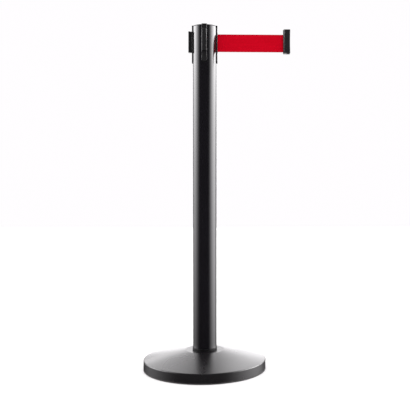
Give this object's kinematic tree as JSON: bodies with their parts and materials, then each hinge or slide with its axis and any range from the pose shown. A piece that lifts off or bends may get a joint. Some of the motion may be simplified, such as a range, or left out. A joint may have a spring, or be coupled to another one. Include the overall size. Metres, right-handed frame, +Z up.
{
  "type": "retractable belt stanchion",
  "caption": "Free-standing post on a weighted disc base, with a spring-wound belt in its head, a clip on the belt's end and T-shaped receivers for other belts.",
  "frame": {"origin": "on the floor, on the post's axis", "axes": "+Z up along the post; +X the way the belt runs out; -Y the front receiver, -X the left one, +Y the rear one"},
  "size_m": [0.3907, 0.325, 0.9145],
  "materials": {
    "powder_black": "smooth semi-gloss black coat",
    "cast_iron": "raw casting",
    "rubber": "matt",
    "zinc_steel": "zinc plated",
    "black_nylon": "fine satin",
    "natural_nylon": "moulded",
    "bronze": "sintered",
    "spring_steel": "blued strip",
    "red_webbing": "plain woven polyester"
  },
  "bodies": {
    "stand": {"base_bolt": "zinc_steel", "base_cover": "powder_black", "base_washer": "zinc_steel", "base_weight": "cast_iron", "belt_run": "red_webbing", "cap_screws": "zinc_steel", "cassette_housing": "black_nylon", "cassette_lid": "black_nylon", "floor_ring": "rubber", "foot_plug": "zinc_steel", "front_receiver": "black_nylon", "front_roller_pin": "zinc_steel", "housing_spacer": "natural_nylon", "left_receiver": "black_nylon", "lock_washer": "zinc_steel", "outlet_guide": "black_nylon", "post_collar": "powder_black", "post_tube": "powder_black", "power_spring": "spring_steel", "rear_receiver": "black_nylon", "rear_roller_pin": "zinc_steel", "receiver_screws": "zinc_steel", "spool_axle": "zinc_steel", "spring_cover": "natural_nylon", "spring_cup": "natural_nylon", "thrust_washer": "bronze", "top_cap": "black_nylon"},
    "spool_body": {"spool": "natural_nylon", "belt_coil": "red_webbing", "upper_bush": "bronze", "lower_bush": "bronze", "spring_arbor": "natural_nylon"},
    "rear_roller_body": {"rear_roller": "natural_nylon"},
    "front_roller_body": {"front_roller": "natural_nylon"},
    "clip": {"clip_body": "black_nylon", "belt_pin": "zinc_steel", "clip_plug": "black_nylon"}
  },
  "joints": [
    {"name": "belt_pull", "type": "slide", "parent": "stand", "child": "clip", "axis": [1, 0, 0], "range_m": [-0.1748, 1.79], "deforming": ["belt_run"]},
    {"name": "spool_spin", "type": "hinge", "parent": "stand", "child": "spool_body", "pos_m": [0, 0, 0.868], "axis": [0, 0, 1], "continuous": true},
    {"name": "rear_roller_spin", "type": "hinge", "parent": "stand", "child": "rear_roller_body", "pos_m": [0.0236, 0.00235, 0.868], "axis": [0, 0, 1], "continuous": true},
    {"name": "front_roller_spin", "type": "hinge", "parent": "stand", "child": "front_roller_body", "pos_m": [0.0236, -0.00235, 0.868], "axis": [0, 0, 1], "continuous": true}
  ],
  "couplings": [
    {"joint": "spool_spin", "follows": "belt_pull", "rad_per_m": -65.7},
    {"joint": "rear_roller_spin", "follows": "belt_pull", "rad_per_m": 425.53},
    {"joint": "front_roller_spin", "follows": "belt_pull", "rad_per_m": -425.53}
  ]
}
